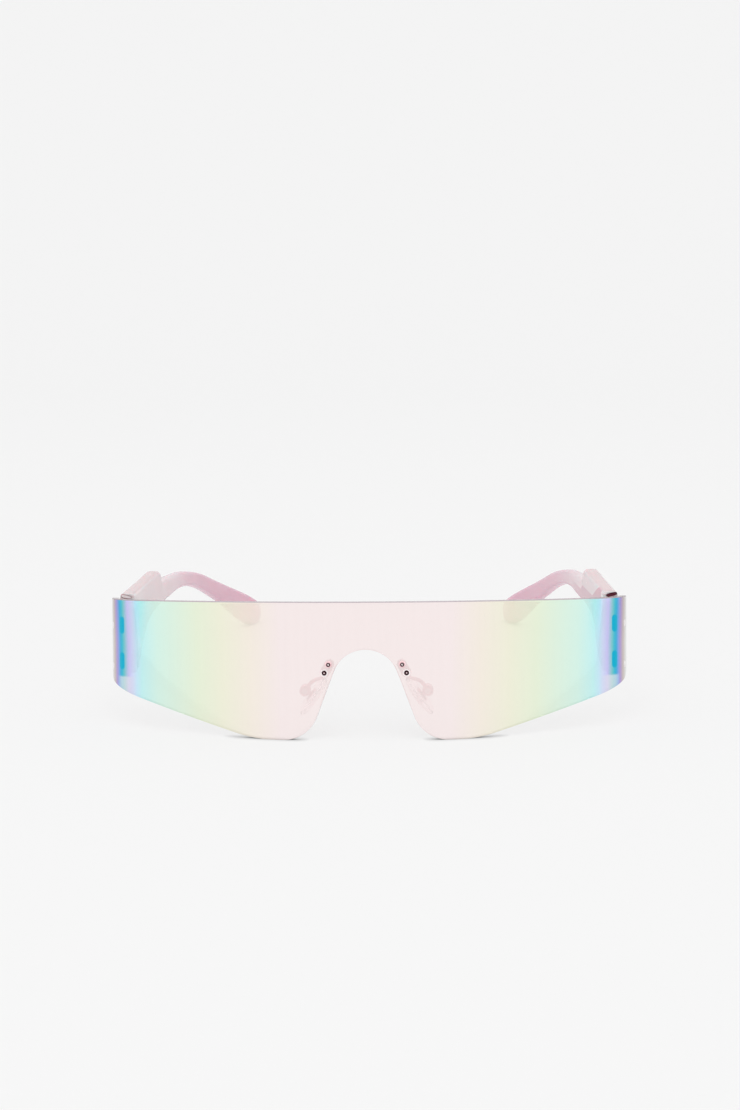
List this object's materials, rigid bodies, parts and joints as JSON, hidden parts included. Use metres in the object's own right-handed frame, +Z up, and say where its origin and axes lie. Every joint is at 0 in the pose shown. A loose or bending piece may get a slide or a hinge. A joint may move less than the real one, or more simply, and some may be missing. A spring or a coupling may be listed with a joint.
{
  "type": "rimless shield sunglasses",
  "caption": "Rimless sunglasses with a one-piece mirrored shield lens, milky pink folding temples and clear rocking nose pads.",
  "frame": {"origin": "middle of the bounding box in plan, on the plane that the lens lobes and temple tips rest on, temples open", "axes": "+X to the picture's right, +Y from the lens back to the temple tips, +Z up"},
  "size_m": [0.1484, 0.1682, 0.0382],
  "materials": {
    "mirror_lens": "mirror coated, pastel bands",
    "milky_pink_plastic": "milky translucent gloss",
    "end_piece_plastic": "satin",
    "pink_metal": "satin",
    "screw_steel": "satin",
    "dark_bush": "matte",
    "washer_plastic": "matte",
    "clear_silicone": "clear, satin",
    "core_plastic": "clear"
  },
  "bodies": {
    "front": {"lens": "mirror_lens", "end_piece_left": "end_piece_plastic", "end_piece_right": "end_piece_plastic", "lens_screw_upper_left": "screw_steel", "lens_screw_lower_left": "screw_steel", "lens_screw_upper_right": "screw_steel", "lens_screw_lower_right": "screw_steel", "hinge_screw_left": "screw_steel", "hinge_screw_right": "screw_steel", "nose_bracket_left": "pink_metal", "nose_bracket_right": "pink_metal", "nose_screw_left": "screw_steel", "nose_screw_right": "screw_steel", "nose_washer_left": "washer_plastic", "nose_washer_right": "washer_plastic", "pin_bush_left": "dark_bush", "pin_bush_right": "dark_bush", "pad_screw_left": "screw_steel", "pad_screw_right": "screw_steel"},
    "temple_left_arm": {"temple_left": "milky_pink_plastic"},
    "temple_right_arm": {"temple_right": "milky_pink_plastic"},
    "pad_left": {"nose_pad_left": "clear_silicone", "pad_core_left": "core_plastic"},
    "pad_right": {"nose_pad_right": "clear_silicone", "pad_core_right": "core_plastic"}
  },
  "joints": [
    {"name": "temple_left_fold", "type": "hinge", "parent": "front", "child": "temple_left_arm", "pos_m": [-0.0696, -0.05389, 0.0216], "axis": [0, 0, -1], "range_deg": [0, 84]},
    {"name": "temple_right_fold", "type": "hinge", "parent": "front", "child": "temple_right_arm", "pos_m": [0.0696, -0.05389, 0.0216], "axis": [0, 0, 1], "range_deg": [0, 77]},
    {"name": "pad_left_rock", "type": "hinge", "parent": "front", "child": "pad_left", "pos_m": [-0.0171, -0.07388, 0.012], "axis": [0, 1, 0], "range_deg": [-8, 8]},
    {"name": "pad_right_rock", "type": "hinge", "parent": "front", "child": "pad_right", "pos_m": [0.0171, -0.07388, 0.012], "axis": [0, 1, 0], "range_deg": [-8, 8]}
  ]
}
